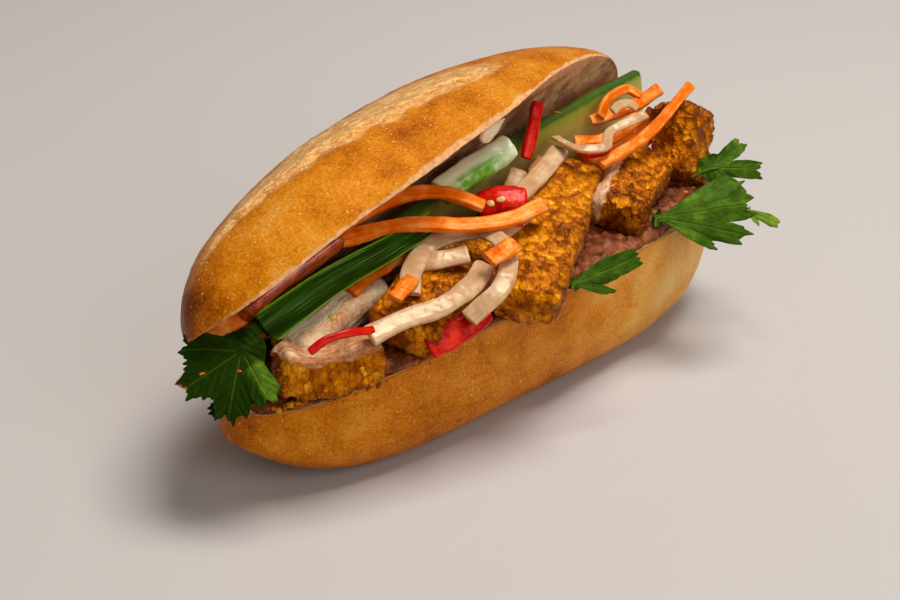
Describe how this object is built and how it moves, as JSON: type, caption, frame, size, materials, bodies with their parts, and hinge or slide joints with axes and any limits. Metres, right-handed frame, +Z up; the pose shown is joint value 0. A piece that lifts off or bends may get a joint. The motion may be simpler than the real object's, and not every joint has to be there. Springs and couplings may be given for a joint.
{
  "type": "banh mi sandwich",
  "caption": "Long hinged bread roll held open along one side over crumbed chicken strips, shredded carrot and daikon, cucumber, chilli, spring onion, coriander and a dark spread.",
  "frame": {"origin": "centre of the flat spot under the middle of the roll", "axes": "+X along the roll towards the end where the lid stands widest open, -Y towards the open front, +Z up"},
  "size_m": [0.2355, 0.1086, 0.1033],
  "materials": {
    "crust": "baked wheat crust, satin",
    "pate": "soft spread, satin",
    "crumb_coating": "fried crumb coating, oily",
    "cucumber": "wet cut vegetable",
    "tomato": "wet cut vegetable",
    "spring_onion": "waxy leaf",
    "mayonnaise": "glossy sauce",
    "carrot": "wet cut vegetable",
    "daikon": "wet pickled vegetable",
    "chilli": "glossy skin",
    "herb": "fresh leaf"
  },
  "bodies": {
    "root": {"roll": "crust", "pate": "pate", "crumbed_chicken_1": "crumb_coating", "crumbed_chicken_2": "crumb_coating", "crumbed_chicken_3": "crumb_coating", "crumbed_chicken_4": "crumb_coating", "crumbed_chicken_5": "crumb_coating", "crumbed_chicken_6": "crumb_coating", "cucumber": "cucumber", "tomato": "tomato", "spring_onion_leaf": "spring_onion", "spring_onion_stem": "spring_onion", "mayonnaise": "mayonnaise", "carrot_1": "carrot", "carrot_2": "carrot", "carrot_3": "carrot", "carrot_4": "carrot", "carrot_5": "carrot", "carrot_6": "carrot", "carrot_7": "carrot", "carrot_8": "carrot", "carrot_9": "carrot", "carrot_10": "carrot", "carrot_11": "carrot", "carrot_12": "carrot", "carrot_13": "carrot", "carrot_14": "carrot", "daikon_1": "daikon", "daikon_2": "daikon", "daikon_3": "daikon", "daikon_4": "daikon", "daikon_5": "daikon", "daikon_6": "daikon", "daikon_7": "daikon", "daikon_8": "daikon", "chilli_1": "chilli", "chilli_2": "chilli", "chilli_3": "chilli", "chilli_4": "chilli", "chilli_5": "chilli", "chilli_6": "chilli", "coriander_1": "herb", "coriander_2": "herb", "coriander_3": "herb", "coriander_4": "herb", "coriander_5": "herb", "coriander_6": "herb", "coriander_7": "herb"}
  },
  "joints": []
}
